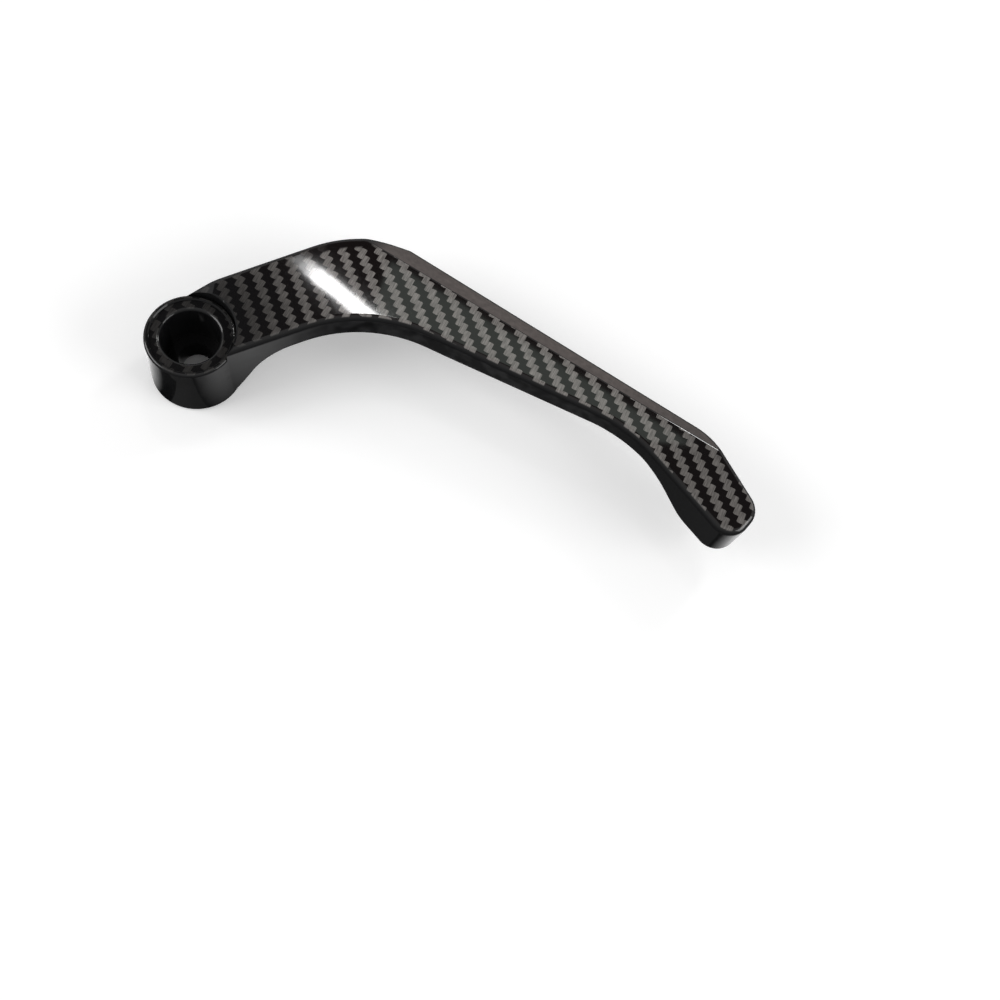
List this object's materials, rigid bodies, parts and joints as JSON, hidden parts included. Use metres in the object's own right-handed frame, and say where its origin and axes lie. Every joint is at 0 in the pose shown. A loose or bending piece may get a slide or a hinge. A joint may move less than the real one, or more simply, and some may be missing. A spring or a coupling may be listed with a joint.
{
  "type": "brake lever guard",
  "caption": "Bent moulded arm with a counterbored boss that bolts to a handlebar end and shields the brake lever.",
  "frame": {"origin": "on the boss axis, at the back face that meets the bar end", "axes": "+Z along the boss axis towards the open pocket, +X from the boss axis to the tip, +Y towards the side the arm bows out to"},
  "size_m": [0.1544, 0.0536, 0.0217],
  "materials": {
    "guard_arm": "woven carbon print under gloss clear coat"
  },
  "bodies": {
    "root": {"guard_arm": "guard_arm"}
  },
  "joints": []
}
